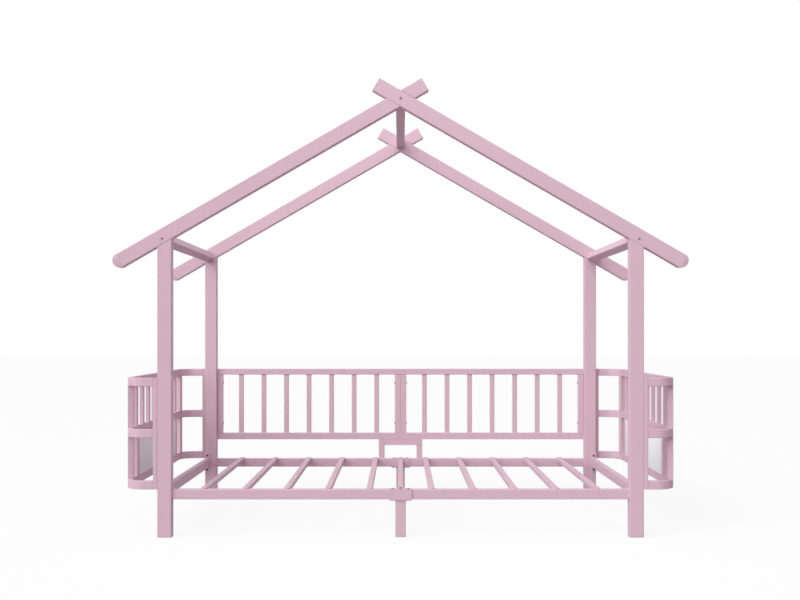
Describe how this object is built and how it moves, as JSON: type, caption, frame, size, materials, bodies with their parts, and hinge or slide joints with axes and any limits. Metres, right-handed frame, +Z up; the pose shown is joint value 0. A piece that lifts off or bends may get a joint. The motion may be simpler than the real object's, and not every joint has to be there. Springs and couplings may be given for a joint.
{
  "type": "house frame bed",
  "caption": "Low steel tube bed under an open house-shaped frame with crossed rafters, a slat deck, a back guard rail and an open storage bay outside the posts at each end.",
  "frame": {"origin": "on the floor under the middle of the bed, midway between the two ends and between the two gables", "axes": "+X along the bed to the viewer's right, +Y from the open front to the back with the guard, +Z up"},
  "size_m": [2.4098, 1.0776, 1.9227],
  "materials": {
    "pink_paint": "satin dusty pink powder coat",
    "insert_steel": "the same powder coat, hidden inside tubes",
    "cap_plastic": "satin moulded plastic in the tubes' pink",
    "slat_cap_plastic": "satin moulded plastic in the tubes' pink",
    "foot_plastic": "matt moulded plastic",
    "white_board": "smooth white lacquered fibreboard",
    "roof_bolt_enamel": "darker pink enamel",
    "bolt_steel": "dark oxide"
  },
  "bodies": {
    "root": {"bay_left_end_stiles": "pink_paint", "bay_left_lower_bars": "pink_paint", "bay_left_panel": "white_board", "bay_left_ring_bottom": "pink_paint", "bay_left_ring_middle": "pink_paint", "bay_left_ring_top": "pink_paint", "bay_left_upper_bars": "pink_paint", "bay_right_end_stiles": "pink_paint", "bay_right_lower_bars": "pink_paint", "bay_right_panel": "white_board", "bay_right_ring_bottom": "pink_paint", "bay_right_ring_middle": "pink_paint", "bay_right_ring_top": "pink_paint", "bay_right_upper_bars": "pink_paint", "centre_leg_front": "pink_paint", "centre_leg_rear": "pink_paint", "crossbar": "pink_paint", "eave_beam_left": "pink_paint", "eave_beam_right": "pink_paint", "end_rail_bolts": "bolt_steel", "end_rail_left": "pink_paint", "end_rail_right": "pink_paint", "feet": "foot_plastic", "guard_and_bay_bolts": "bolt_steel", "guard_balusters_left": "pink_paint", "guard_balusters_right": "pink_paint", "guard_rails_left": "pink_paint", "guard_rails_right": "pink_paint", "guard_stiles_left": "pink_paint", "guard_stiles_right": "pink_paint", "guard_support": "pink_paint", "post_front_left": "pink_paint", "post_front_right": "pink_paint", "post_rear_left": "pink_paint", "post_rear_right": "pink_paint", "rafter_eave_caps": "cap_plastic", "rafter_front_left": "pink_paint", "rafter_front_right": "pink_paint", "rafter_rear_left": "pink_paint", "rafter_rear_right": "pink_paint", "rafter_tip_caps": "cap_plastic", "ridge_beam": "pink_paint", "roof_bolts": "roof_bolt_enamel", "side_rail_bolts": "bolt_steel", "side_rail_front_left": "pink_paint", "side_rail_front_right": "pink_paint", "side_rail_rear_left": "pink_paint", "side_rail_rear_right": "pink_paint", "slat_01": "pink_paint", "slat_02": "pink_paint", "slat_03": "pink_paint", "slat_04": "pink_paint", "slat_05": "pink_paint", "slat_06": "pink_paint", "slat_07": "pink_paint", "slat_08": "pink_paint", "slat_09": "pink_paint", "slat_10": "pink_paint", "slat_caps": "slat_cap_plastic", "tube_inserts": "insert_steel"}
  },
  "joints": []
}
